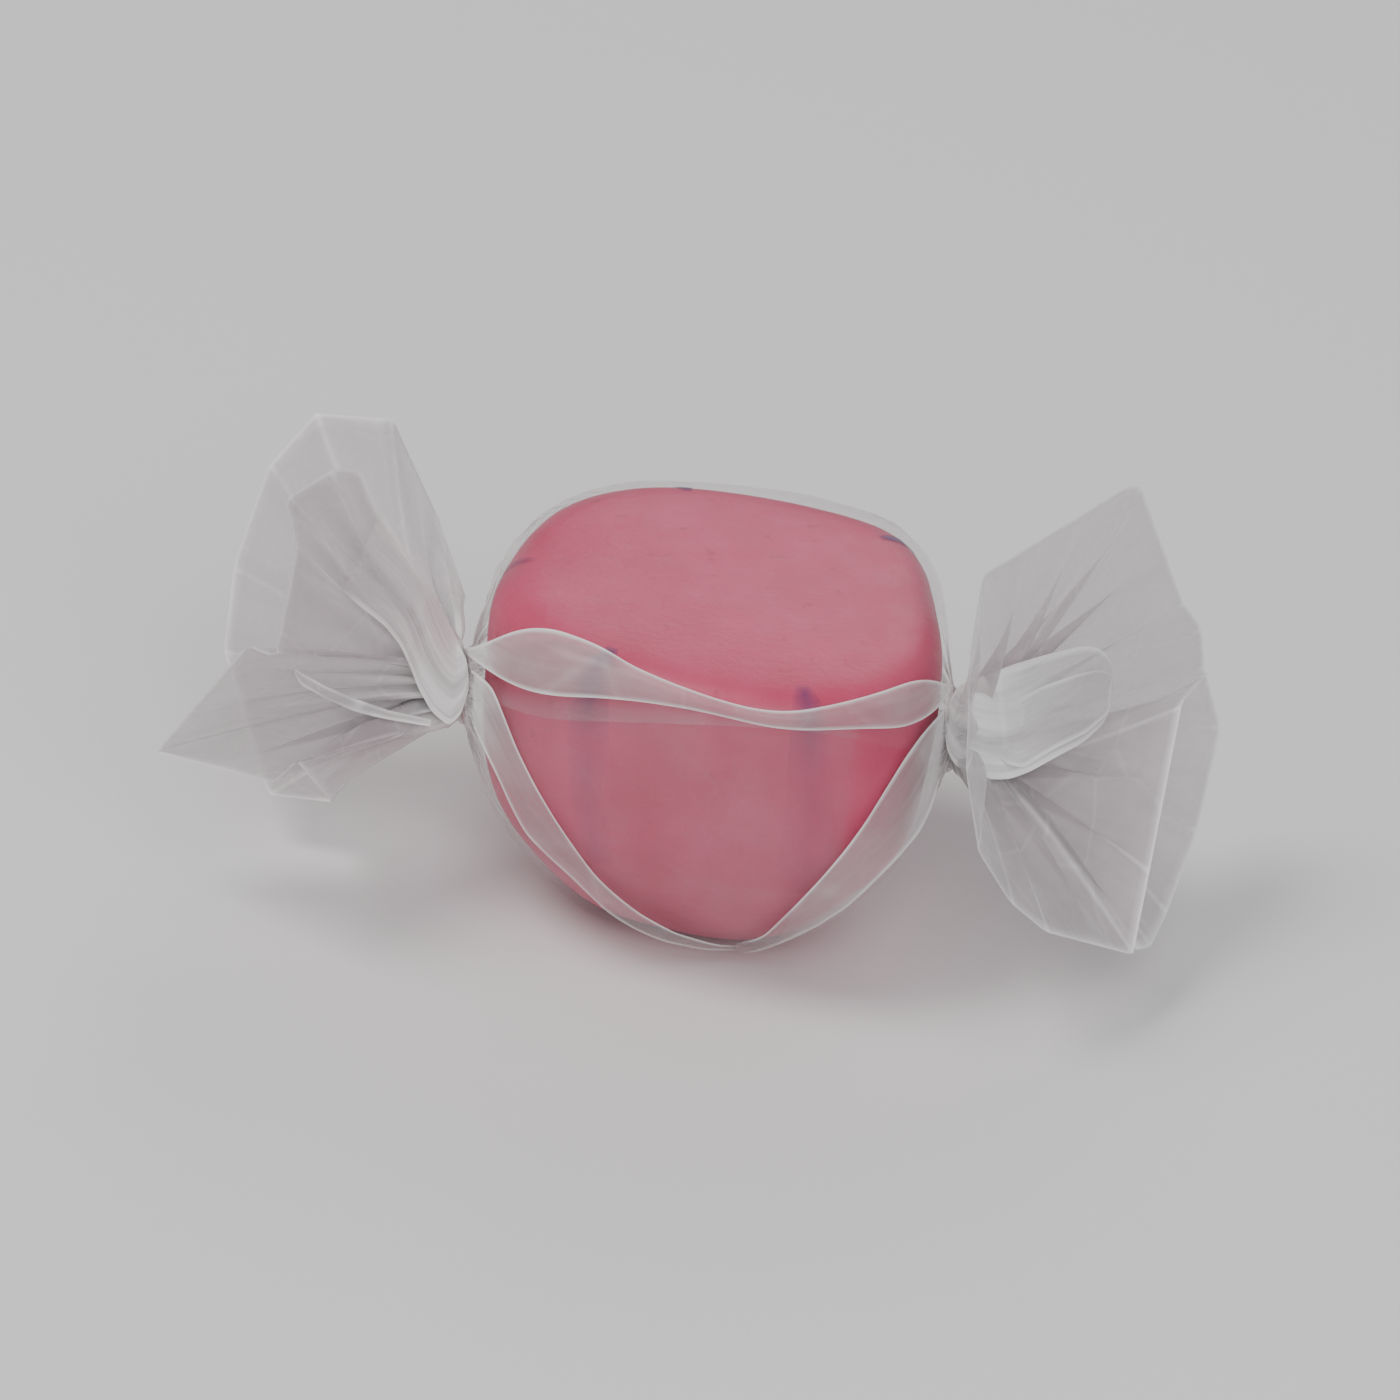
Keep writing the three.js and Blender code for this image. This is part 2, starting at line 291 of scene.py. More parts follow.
# Place of a point of the puck's outline, on the candy that fills the paper, with a margin
def onPuck(radius, height, angle, margin=0.0):
    reach = radius * float(outOfRound(angle))
    x, y = reach * math.cos(angle), reach * math.sin(angle)
    away = fromPuck(x, y, height)[1]
    side = min(1, radius / puck["radius"]) ** 2
    dent = candyDent(x, y, height) * side
    plump = taffyLook["plump"] + taffyLook["shoulder"] * float(rightShoulder(x, height)) * side
    place = Vector((x, y, height)) + Vector(away) * (plump + dent + margin)
    place.z += axisHeight
    return place * millimetre


def buildTaffy():
    sheet = bmesh.new()
    last = None
    for radius, height in puckOutline(taffyLook["rings"]):
        corner = sheet.verts.new((radius, 0, height))
        if last:
            sheet.edges.new((last, corner))
        last = corner
    bmesh.ops.spin(sheet, geom=sheet.verts[:] + sheet.edges[:], cent=(0, 0, 0), axis=(0, 0, 1),
                   angle=2 * math.pi, steps=taffyLook["segments"], use_merge=True)
    bmesh.ops.holes_fill(sheet, edges=[edge for edge in sheet.edges if edge.is_boundary])
    for vert in sheet.verts:
        x, y, z = vert.co
        vert.co = onPuck(math.hypot(x, y), z, math.atan2(y, x))
    bmesh.ops.recalc_face_normals(sheet, faces=sheet.faces)
    mesh = bpy.data.meshes.new("taffyPuck")
    sheet.to_mesh(mesh)
    sheet.free()
    mesh.shade_smooth()
    mesh.materials.append(taffyMaterial())
    addObject("taffyPuck", mesh, ["taffy"])


# Stripes

stripeLook = {
    "blue": (0.045, 0.05, 0.20),
    "violet": (0.16, 0.07, 0.23),
    "angles": [101, 25, -65, -120, 175],
    "leans": [0, 13, 0, -3, 0],
    "widths": [2.9, 3.4, 3.4, 3.2, 3.2],
    "strengths": [0.9, 1.0, 0.5, 0.8, 0.45],
    "roughness": 0.42,
    "streakScale": 550,
    "cloudScale": 420,
    "lowest": -5.0,
    "overRim": 2.2,
    "proud": 0.04,
    "sunk": 0.25,
    "thickness": 0.9,
    "wander": 0.3,
    "columns": 14,
    "rows": 46,
}


def stripeMaterial():
    shader = Shader("blueCandy")
    point = shader.objectPoint()
    pulled = shader.node("ShaderNodeMapping", {}, {"Vector": point, "Scale": (1, 1, 0.25)})
    streak = shader.noise(pulled, stripeLook["streakScale"], 2, 0.5)
    cloud = shader.noise(point, stripeLook["cloudScale"], 3, 0.6)
    border = shader.attribute("border")
    base = shader.mix(shader.ramp(cloud, 0.4, 0.65), stripeLook["blue"], stripeLook["violet"])
    base = shader.mix(shader.ramp(streak, 0.5, 0.72) * 0.7, base, taffyLook["pink"])
    fade = shader.ramp(shader.attribute("height"), 0.6, 0.95) * 0.7 + 0.14
    cover = shader.ramp(border + (streak - 0.5) * 0.6, 0.05, 0.85) * fade
    surface = shader.node("ShaderNodeBsdfPrincipled", {}, {
        "Base Color": base,
        "Roughness": stripeLook["roughness"],
        "Alpha": cover,
        "IOR": 1.46,
    })
    return shader.finish(surface)


# A strand follows the puck's side from its taper up over the rim, and sinks in at its borders
def buildStripe(index, material):
    centre = math.radians(stripeLook["angles"][index])
    lean = math.radians(stripeLook["leans"][index])
    halfWidth = stripeLook["widths"][index] / 2
    rows = stripeLook["rows"]
    outline = puckOutline(rows + 1, stripeLook["lowest"])
    strand = bmesh.new()
    bmesh.ops.create_grid(strand, x_segments=stripeLook["columns"], y_segments=rows, size=1)
    border = strand.verts.layers.float.new("border")
    tall = strand.verts.layers.float.new("height")
    for vert in strand.verts:
        across, along = vert.co.x, vert.co.y
        radius, height = outline[int(round((along + 1) / 2 * rows))]
        wander = stripeLook["wander"] * math.sin(2.1 * along + index * 1.7)
        narrow = math.sqrt(max(0.05, 1 - abs(along) ** 6))
        narrow = narrow * (1 + 0.16 * math.sin(3.3 * along + 2 * index))
        narrow = narrow * (1 - 0.4 * float(smoothStep(along, 0.2, 0.9)))
        angle = centre + lean * along + (across * halfWidth * narrow + wander) / puck["radius"]
        inside = min(1 - abs(across), (1 - abs(along)) * 8)
        vert[border] = inside * stripeLook["strengths"][index]
        vert[tall] = (along + 1) / 2
        sunk = stripeLook["sunk"] * (1 - min(1, inside * 4))
        vert.co = onPuck(radius, height, angle, stripeLook["proud"] - sunk)
    back = bmesh.ops.extrude_face_region(strand, geom=strand.faces[:])["geom"]
    for vert in back:
        if isinstance(vert, bmesh.types.BMVert):
            x, y = vert.co.x, vert.co.y
            vert.co -= Vector((x, y, 0)).normalized() * stripeLook["thickness"] * millimetre
            vert[border] = 0
    bmesh.ops.recalc_face_normals(strand, faces=strand.faces)
    mesh = bpy.data.meshes.new(f"stripe{index + 1}")
    strand.to_mesh(mesh)
    strand.free()
    mesh.shade_smooth()
    mesh.materials.append(material)
    addObject(f"stripe{index + 1}", mesh, [f"stripe_{index + 1}"])


# Wrapper paper

paper = {
    "columns": 176,
    "bodyRows": 36,
    "neckRows": 8,
    "fanRows": 38,
    "angleSteps": 900,
    "stations": 160,
    "overhang": 0.6,
    "halfLength": 38.5,
    "lapStart": 149,
    "lapAngle": 6,
    "neckX": 13.4,
    "waist": 0.3,
    "neckLength": 1.3,
    "pleats": 18,
    "pleatLag": 1.5,
    "pleatHeight": 0.13,
    "pleatDepth": 1.95,
    "folds": 13,
    "foldHeight": 1.9,
    "broadFolds": 5,
    "broadHeight": 1.3,
    "rimBand": 0.3 / 22,  # the last row lies 0.3 mm inside the rim of a 22 mm free end
    "clearance": 0.42,
    "frontSlack": 0.15,
    "lapSlack": 0.25,
    "bottomSlack": 0.1,
    "relaxSteps": 160,
    "play": 0.12,
    "leastPlay": 0.1,
    "memory": 0.004,
    "aboveFloor": 0.06,
}

# Each rim is the cut edge of one free end, as a line with its corners and folds. The line
# starts and ends where the edges of the sheet overlap. Turns are whole ones, added to the part
# of a turn that brings the neck round to the rim.
paperEnds = {
    -1: {
        "neckRadius": 2.0,
        "gather": (-14.2, 0.1, 0.2),
        "gatherRadius": 2.1,
        "turns": -1,
        "rim": [
            (-19.7, -5.7, 15.7), (-21.2, -5.2, 15.6), (-23.8, -4.8, 13.2), (-22.8, -8.2, 12.1),
            (-23.4, -12.4, 7.6), (-25.0, -11.7, 7.8), (-30.2, -4.2, -3.5), (-23.3, -10.8, -1.0),
            (-21.9, -12.8, 1.6), (-20.6, 0.1, -8.2), (-24.2, 1.0, -8.6), (-27.7, 9.1, -4.1),
            (-27.5, 11.1, 0.5), (-25.9, 11.5, 6.6), (-23.4, 11.3, 10.3), (-19.1, 12.2, 9.9),
            (-16.2, 14.1, 2.8), (-14.4, 13.8, -1.8),
        ],
    },
    1: {
        "neckRadius": 2.2,
        "gather": (14.4, -0.8, 0.1),
        "gatherRadius": 2.3,
        "turns": 0,
        "rim": [
            (24.5, -8.9, -7.9), (25.3, -8.3, -8.0), (26.2, -4.9, -7.9), (27.7, 0.4, -5.5),
            (28.9, 7.6, -2.7), (27.7, 9.7, 0.0), (27.3, 9.9, 2.4), (26.0, 9.2, 4.3),
            (22.6, 3.7, 14.1), (21.9, 2.8, 14.6), (14.0, -7.8, 13.9), (13.6, -11.4, 11.4),
            (13.9, -15.5, 6.1), (15.0, -16.0, 1.5), (17.0, -15.7, -1.6), (19.1, -15.1, -3.6),
            (24.3, -9.8, -7.7), (24.9, -6.3, -4.3), (26.0, -0.1, 3.0), (27.6, 4.7, 2.4),
        ],
    },
}


def restingRadius(x, angle, clearance):
    low, high = np.zeros_like(x), np.full_like(x, 2 * puck["radius"])
    for step in range(32):
        radius = (low + high) / 2
        inside = fromPuck(x, radius * np.cos(angle), radius * np.sin(angle))[0] < clearance
        low, high = np.where(inside, radius, low), np.where(inside, high, radius)
    return low


# Stations and radii of the taut paper from the middle to the neck, at one angle about the twist
def tautProfile(side, angle, clearance, neckRadius):
    turn = np.linspace(0, math.pi / 2 * 0.998, paper["stations"])
    station = (puck["radius"] + paper["overhang"]) * np.sin(turn)
    radius = restingRadius(side * station, np.full_like(station, angle), clearance)
    touch = int(np.argmax((radius - neckRadius) / (paper["neckX"] - station)))
    station = np.append(station[:touch + 1], paper["neckX"])
    radius = np.append(radius[:touch + 1], neckRadius)
    length = np.append(0, np.cumsum(np.hypot(np.diff(station), np.diff(radius))))
    return station, radius, length


# Gap between the puck and each column, by its degrees from the start of the lap: the front and
# the underside hang looser and the lap lies on top
def layerClearance(turned):
    front = paper["frontSlack"] * smoothStep(np.abs(turned - 55), 75, 25)
    lap = paper["lapSlack"] * smoothStep(turned, 300, 350)
    bottom = paper["bottomSlack"] * smoothStep(np.abs(turned - 120), 60, 20)
    return paper["clearance"] + front + lap + bottom


# Angle about the twist of each column, evenly spaced along the paper
def columnAngles():
    turned = np.linspace(0, 360 + paper["lapAngle"], paper["angleSteps"])
    angle = np.radians(paper["lapStart"] + turned)
    radius = restingRadius(np.zeros_like(angle), angle, layerClearance(turned))
    steps = np.hypot(np.diff(radius * np.cos(angle)), np.diff(radius * np.sin(angle)))
    length = np.append(0, np.cumsum(steps))
    share = np.linspace(0, 1, paper["columns"])
    return share, np.interp(share * length[-1], length, turned), length[-1]


# Share of the rim's length at each of its corners
def cornerShares(end):
    corners = np.array(end["rim"], float)
    starts = np.append(0, np.cumsum(np.linalg.norm(np.diff(corners, axis=0), axis=1)))
    return starts / starts[-1]


def rimPoints(end, share):
    corners = np.array(end["rim"], float)
    return np.stack([np.interp(share, cornerShares(end), corners[:, k]) for k in range(3)], 1)


# A pointed wave for folds: 1 on the crests and -1 in the valleys
def foldWave(turns):
    return 1 - np.abs((turns % 1) * 4 - 2)


# Phase of the fine pleats at an angle about the twist, at a share of the way to the neck
def pleatPhase(side, angle, share=1):
    return paper["pleats"] * angle + side * paper["pleatLag"] * share


# Station (part 0) or radius (part 1) at a share of each profile's length
def alongProfiles(profiles, share, part):
    values = [np.interp(share * profile[2][-1], profile[2], profile[part]) for profile in profiles]
    return np.array(values)


# Rows of points from the middle of the sheet to one cut edge, and how far along the paper they are
def halfSheet(side, share, turned):
    end = paperEnds[side]
    angle = np.radians(paper["lapStart"] + turned)
    clearance = layerClearance(turned)
    profiles = [tautProfile(side, a, c, end["neckRadius"]) for a, c in zip(angle, clearance)]
    neckAt = np.array([profile[2][-1] for profile in profiles])
    rows, lengths = [], []
    for t in np.linspace(0, 1, paper["bodyRows"] + 1):
        x = alongProfiles(profiles, t, 0)
        r = alongProfiles(profiles, t, 1)
        gathered = np.clip((t - 0.6) / 0.4, 0, 1) ** 1.6
        r = r + paper["pleatHeight"] * gathered * (1 + np.cos(pleatPhase(side, angle, t)))
        rows.append(np.stack([side * x, r * np.cos(angle), r * np.sin(angle)], 1))
        lengths.append(t * neckAt)
    rows, lengths = addNeck(side, end, share, angle, rows, lengths)
    rows, lengths = addFan(side, end, share, angle, rows, lengths)
    return np.array(rows), np.array(lengths)


# Spokes from the gather to the rim, their common axis and their directions about it
def fanSpokes(end, share):
    spokes = rimPoints(end, share) - np.array(end["gather"], float)
    directions = spokes / np.linalg.norm(spokes, axis=1)[:, None]
    axis = directions.mean(0)
    axis = axis / np.linalg.norm(axis)
    outward = directions - np.outer(directions @ axis, axis)
    return spokes, directions, axis, outward / np.linalg.norm(outward, axis=1)[:, None]


# Uneven thickness of the gathered bundle with its fine pleats
def bundle(side, angle):
    lobes = 0.22 * np.sin(3 * angle + 1.1 * side) + 0.15 * np.cos(7 * angle + 0.4)
    return lobes + paper["pleatHeight"] * (1 + np.cos(pleatPhase(side, angle)))


# The tight twist turns the gathered paper into the free end, and its pleats meet in the middle
def addNeck(side, end, share, angle, rows, lengths):
    axis, outward = fanSpokes(end, share)[2:]
    turns = np.arctan2(outward[:, 2], outward[:, 1]) - angle
    meanTurn = math.atan2(np.sin(turns).sum(), np.cos(turns).sum())
    twist = meanTurn % (2 * math.pi) + 2 * math.pi * end["turns"]
    print("twist of the neck", side, round(math.degrees(twist)))
    start = np.array([side * paper["neckX"], 0, 0])
    groove = (0.5 - 0.5 * np.cos(pleatPhase(side, angle))) ** 3
    bodyLength = lengths[-1]
    for step in range(1, paper["neckRows"] + 1):
        q = step / paper["neckRows"]
        turned = angle + twist * q
        spoke = np.stack([0 * turned, np.cos(turned), np.sin(turned)], 1)
        spoke = spoke - np.outer(spoke @ axis, axis) * q
        spoke = spoke / np.linalg.norm(spoke, axis=1)[:, None]
        waist = end["neckRadius"] * (1 - q) + end["gatherRadius"] * q
        waist = waist - paper["waist"] * math.sin(math.pi * q)
        depth = paper["pleatDepth"] * math.sin(0.6 * math.pi * q)
        radius = waist + bundle(side, angle) - depth * groove
        rows.append(start * (1 - q) + np.array(end["gather"], float) * q + spoke * radius[:, None])
        lengths.append(bodyLength + paper["neckLength"] * q)
    return rows, lengths


# The free end opens from the twist in straight facets, with pleats that fade out towards the rim
def addFan(side, end, share, angle, rows, lengths):
    spokes, directions, axis, outward = fanSpokes(end, share)
    rim = spokes + np.array(end["gather"], float)
    lift = axis - 0.5 * outward
    lift = lift / np.linalg.norm(lift, axis=1)[:, None]
    uneven = share + 0.010 * np.sin(2 * math.pi * (3.1 * share + 0.13 * side))
    uneven = uneven + 0.006 * np.sin(2 * math.pi * (7.7 * share + 0.4 * side))
    base, baseLength = rows[-1], lengths[-1]
    reach = np.linalg.norm(rim - base, axis=1)[:, None]
    bend = 0.3 * smoothStep(share, 1.0, 0.88)[:, None]
    control = base + (bend * axis + (1 - bend) * directions) * reach * 0.4
    for q in np.append(np.linspace(0, 1 - paper["rimBand"], paper["fanRows"]), 1)[1:]:
        curve = base * (1 - q) ** 2 + control * 2 * q * (1 - q) + rim * q * q
        fine = paper["pleatHeight"] * (1 - q) ** 4 * np.cos(pleatPhase(side, angle))
        folds = paper["foldHeight"] * q ** 0.8 * (1 - q) ** 2.6
        folds = folds * foldWave(paper["folds"] * uneven + 0.25 * (1 - q))
        broad = paper["broadHeight"] * q * (1 - q) ** 1.2 * foldWave(paper["broadFolds"] * uneven + 0.3)
        rows.append(curve + lift * (fine + folds + broad)[:, None])
        lengths.append(baseLength + (paper["halfLength"] - baseLength) * q)
    return rows, lengths


# Rows down, columns across and strength of the links between a point and its neighbours
paperLinks = [(0, 1, 1.0), (1, 0, 1.0), (1, 1, 0.5), (1, -1, 0.5), (0, 2, 0.15), (2, 0, 0.15)]


# Both ends of the links as slices of the sheet that don't overlap, with their length in the
# flat sheet, how hard they push back and how far each end moves
def linkPaper(flat, freedom, squash):
    links = []
    for down, across, strength in paperLinks:
        stride = 4 if max(down, across) == 2 else 2
        for phase in range(stride):
            if down == 0:
                first = (slice(None), slice(phase, -across, stride))
                second = (slice(None), slice(phase + across, None, stride))
            elif across == 0:
                first = (slice(phase, -down, stride), slice(None))
                second = (slice(phase + down, None, stride), slice(None))
            else:
                columns = (slice(None, -1), slice(1, None))
                near, far = columns if across > 0 else columns[::-1]
                first = (slice(phase, -down, stride), near)
                second = (slice(phase + down, None, stride), far)
            rest = np.linalg.norm(flat[second] - flat[first], axis=-1)
            weight = np.maximum(freedom[first] + freedom[second], 1e-6)
            share = strength / weight
            soft = squash[first] if across else np.ones_like(rest)
            links.append((first, second, rest, soft, share * freedom[first], share * freedom[second]))
    return links


# Pulls neighbouring points towards their distance in the flat sheet, but lets gathered paper
# squash, and keeps the paper off the puck and near where it started
def relaxPaper(place, flat, freedom, squash, clearance):
    links = linkPaper(flat, freedom, squash)
    start = place.copy()
    looseness = np.maximum(puckDistance(place) + paper["play"], clearance + paper["leastPlay"])
    for step in range(paper["relaxSteps"]):
        for first, second, rest, soft, moveFirst, moveSecond in links:
            gap = place[second] - place[first]
            length = np.linalg.norm(gap, axis=-1)
            pull = (length - rest) / np.maximum(length, 1e-6)
            pull = np.where(pull < 0, np.maximum(pull, -1.0) * soft, pull)
            place[first] += gap * (pull * moveFirst)[..., None]
            place[second] -= gap * (pull * moveSecond)[..., None]
        distance, away = fromPuck(place[..., 0], place[..., 1], place[..., 2])
        push = np.maximum(clearance - distance, 0) + np.minimum(looseness - distance, 0)
        place += away * (push * (freedom > 0))[..., None]
        place[..., 2] = np.maximum(place[..., 2], paper["aboveFloor"] - axisHeight)
        place += (start - place) * (paper["memory"] * freedom)[..., None]
    return place


def paperSheet():
    share, turned, width = columnAngles()
    left, leftLength = halfSheet(-1, share, turned)
    right, rightLength = halfSheet(1, share, turned)
    place = np.concatenate([left[::-1], right[1:]])
    along = np.concatenate([-leftLength[::-1], rightLength[1:]])
    flat = np.stack([along, np.broadcast_to(share * width, along.shape)], -1)
    rows = np.abs(np.arange(len(place)) - (len(place) - 1) // 2)
    body = np.flatnonzero(rows <= paper["bodyRows"])
    loose = slice(body[0], body[-1] + 1)
    freedom = np.where(rows[loose] >= paper["bodyRows"] - 1, 0.0, 1.0)[:, None] * np.ones(len(share))
    squash = 0.02 + 0.9 * smoothStep(rows[loose], paper["bodyRows"] * 0.7, paper["bodyRows"] * 0.2)
    squash = squash[:, None] * np.ones(len(share))
    shoulder = rightShoulder(place[loose][..., 0], place[loose][..., 2])
    clearance = layerClearance(turned) + taffyLook["shoulder"] * shoulder
    place[loose] = relaxPaper(place[loose], flat[loose], freedom, squash, clearance)
    print("paper relaxed", place.shape, "width", round(width, 1))
    return place, flat, rows


paperLook = {
    "grey": (0.46, 0.395, 0.415),
    "white": (0.60, 0.535, 0.555),
    # Near-white for the painted highlights and for the knots, partly the dense gathered paper and partly
    # painted light
    "bright": (0.97, 0.96, 0.94),
    "clinging": 0.03,
    "standing": 0.60,
    "gathered": 0.4,
    "gatherReach": (6.0, 13.0),  # rows from the neck towards the candy and towards the rim
    # Opacity and width of the cut edges, which are also whitened with a painted highlight
    "edge": 0.75,
    "edgeWidth": 0.42,
    "crease": 0.28,
    "roughness": 0.27,
    "sheen": 0.5,
    "frontMilk": 0.21,
    "rimHighlight": 0.28,
    "cloudScale": 260,
    "hazeScale": 110,
    "crinkleScale": 700,
    "pleatScale": (0.07, 0.8, 1),
    "crumpleScale": 0.15,
    "relief": 0.0002,
}


# White where the paper stands off the candy or lies double, clear where it clings. The pleats
# run along the sheet and the crumples are straight creases. Painted highlights whiten the cut
# edges, the folds and the crumple creases. The gathered knots are mixed near-white, partly for
# the dense gathered paper and partly as painted light standing in for light passing through it.
def paperMaterial():
    shader = Shader("waxedPaper")
    point = shader.objectPoint()
    lift = shader.attribute("lift")
    gather = shader.attribute("gather")
    edge = shader.attribute("edge")
    sheet = shader.attribute("sheet", "Vector")
    cloud = shader.noise(point, paperLook["cloudScale"], 3, 0.55) * 0.5
    cloud = cloud + shader.noise(point, paperLook["hazeScale"], 2, 0.5) * 0.5
    crinkle = shader.noise(point, paperLook["crinkleScale"], 4, 0.6)
    pulled = shader.node("ShaderNodeMapping", {}, {"Vector": sheet, "Scale": paperLook["pleatScale"]})
    pleat = shader.ramp(shader.noise(pulled, 1.0, 3, 0.65), 0.3, 0.7)
    # Painted highlights on straight crumple creases where the paper stands off
    cells = shader.node("ShaderNodeTexVoronoi", {"feature": "DISTANCE_TO_EDGE"},
                        {"Vector": sheet, "Scale": paperLook["crumpleScale"]})
    crumple = shader.ramp(cells, 0.035, 0.0) * lift
    # Painted highlight along the sharp folds
    fold = shader.ramp(shader.attribute("fold"), 0.5, 1.0)
    white = shader.mix(shader.ramp(cloud, 0.36, 0.62), paperLook["grey"], paperLook["white"])
    # Painted highlights on edges, folds and creases, and the knots' whiteness, which is partly painted
    # light
    whitenessAndHighlights = edge + fold * 0.4 + crumple * 0.12 + gather * (pleat * 0.3 + 0.8)
    white = shader.mix(whitenessAndHighlights.clamped(), white, paperLook["bright"])
    alpha = lift * (paperLook["standing"] - paperLook["clinging"]) + paperLook["clinging"]
    alpha = alpha + gather * paperLook["gathered"] + edge * paperLook["edge"]
    alpha = alpha + (cloud - 0.5) * (lift * 0.5 + 0.1)
    alpha = alpha + (fold + crumple * 0.3) * paperLook["crease"]
    alpha = alpha + (pleat - 0.5) * (gather * 0.5 + lift * 0.12)
    relief = crinkle * 0.5 + cloud + pleat * (gather * 1.6 + lift * 0.5)
    surface = shader.node("ShaderNodeBsdfPrincipled", {}, {
        "Base Color": white,
        "Roughness": shader.ramp(crinkle, 0.3, 0.7) * 0.18 + paperLook["roughness"],
        "Alpha": alpha.clamped(),
        "Sheen Weight": paperLook["sheen"],
        "Sheen Roughness": 0.5,
        "Normal": shader.bump(relief, 0.35, paperLook["relief"]),
        "IOR": 1.45,
    })
    return shader.finish(surface)


# A grid laid over rows and columns of places, with its places in the flat sheet and the
# paper's painted values
def layPaper(name, place, flat, painted, material):
    height, width = place.shape[:2]
    sheet = bmesh.new()
    bmesh.ops.create_grid(sheet, x_segments=width - 1, y_segments=height - 1, size=1)
    mesh = bpy.data.meshes.new(name)
    sheet.to_mesh(mesh)
    sheet.free()
    grid = np.empty(len(mesh.vertices) * 3, np.float32)
    mesh.vertices.foreach_get("co", grid)
    column = np.rint((grid[0::3] + 1) / 2 * (width - 1)).astype(int)
    row = np.rint((grid[1::3] + 1) / 2 * (height - 1)).astype(int)
    placed = place[row, column]
    placed[:, 2] += axisHeight
    mesh.vertices.foreach_set("co", (placed * millimetre).astype(np.float32).ravel())
    writeAttribute(mesh, "sheet", np.insert(flat[row, column], 2, 0, axis=1))
    for key, values in painted.items():
        writeAttribute(mesh, key, np.broadcast_to(values, (height, width))[row, column])
    mesh.shade_smooth()
    mesh.materials.append(material)
    addObject(name, mesh, ["wrapper"])


# Sharp folds from the twist to the corners of the rims, whitened with a painted highlight
def foldLines(place, rows):
    fold = np.zeros(place.shape[:2])
    fanStart = paper["bodyRows"] + paper["neckRows"]
    for side, end in paperEnds.items():
        columns = np.rint(cornerShares(end) * (place.shape[1] - 1)).astype(int)
        facing = (place[:, 0, 0] * side > 0) & (rows > fanStart)
        strength = smoothStep(rows[facing] - fanStart, 2, 16)
        fold[np.ix_(facing, columns)] = strength[:, None]
    return fold


# Milky film in front of the candy below the lap, and a painted highlight as a pale band of film at the
# rim of the upper face
def milkAndRimHighlight(place):
    seenUp, seenNear = fromCamera(place)
    front = paperLook["frontMilk"] * smoothStep(seenUp, 0.6, -1.0) * smoothStep(seenNear, 0, 3)
    front = front * smoothStep(place[..., 0], 8.4, 7.4)
    # Painted highlight: a pale band of whiter film along the rim of the upper face
    shoulder = smoothStep(np.hypot(place[..., 0], place[..., 1]), 10.2, 11.8)
    shoulder = paperLook["rimHighlight"] * shoulder * smoothStep(place[..., 2], 2.5, 5.5)
    return np.maximum(front, shoulder * smoothStep(seenNear, 8, 4))


def buildPaper(material):
    place, flat, rows = paperSheet()
    neckMiddle = paper["bodyRows"] + paper["neckRows"] / 2
    towardsCandy, towardsRim = paperLook["gatherReach"]
    reach = np.where(rows > neckMiddle, towardsRim, towardsCandy)
    border = np.minimum(flat[..., 1], flat[..., 1].max() - flat[..., 1])
    border = np.where(rows[:, None] > neckMiddle, border, 1.0)
    border = np.minimum(border, paper["halfLength"] - np.abs(flat[..., 0]))
    painted = {
        # Where the film stands off the candy, with the milky front and the painted highlight at the rim
        "lift": np.maximum(smoothStep(puckDistance(place), 0.8, 3.2), milkAndRimHighlight(place)),
        # Whiter, denser paper at the knots, partly painted light standing in for light passing through
        # the gathered paper
        "gather": np.exp(-np.abs((rows - neckMiddle) / reach) ** 3)[:, None],
        # Cut edges whitened with a painted highlight
        "edge": smoothStep(border, paperLook["edgeWidth"], 0.0),
        # Painted highlight along the folds to the rim corners
        "fold": foldLines(place, rows),
    }
    layPaper("wrapperPaper", place, flat, painted, material)
    return place


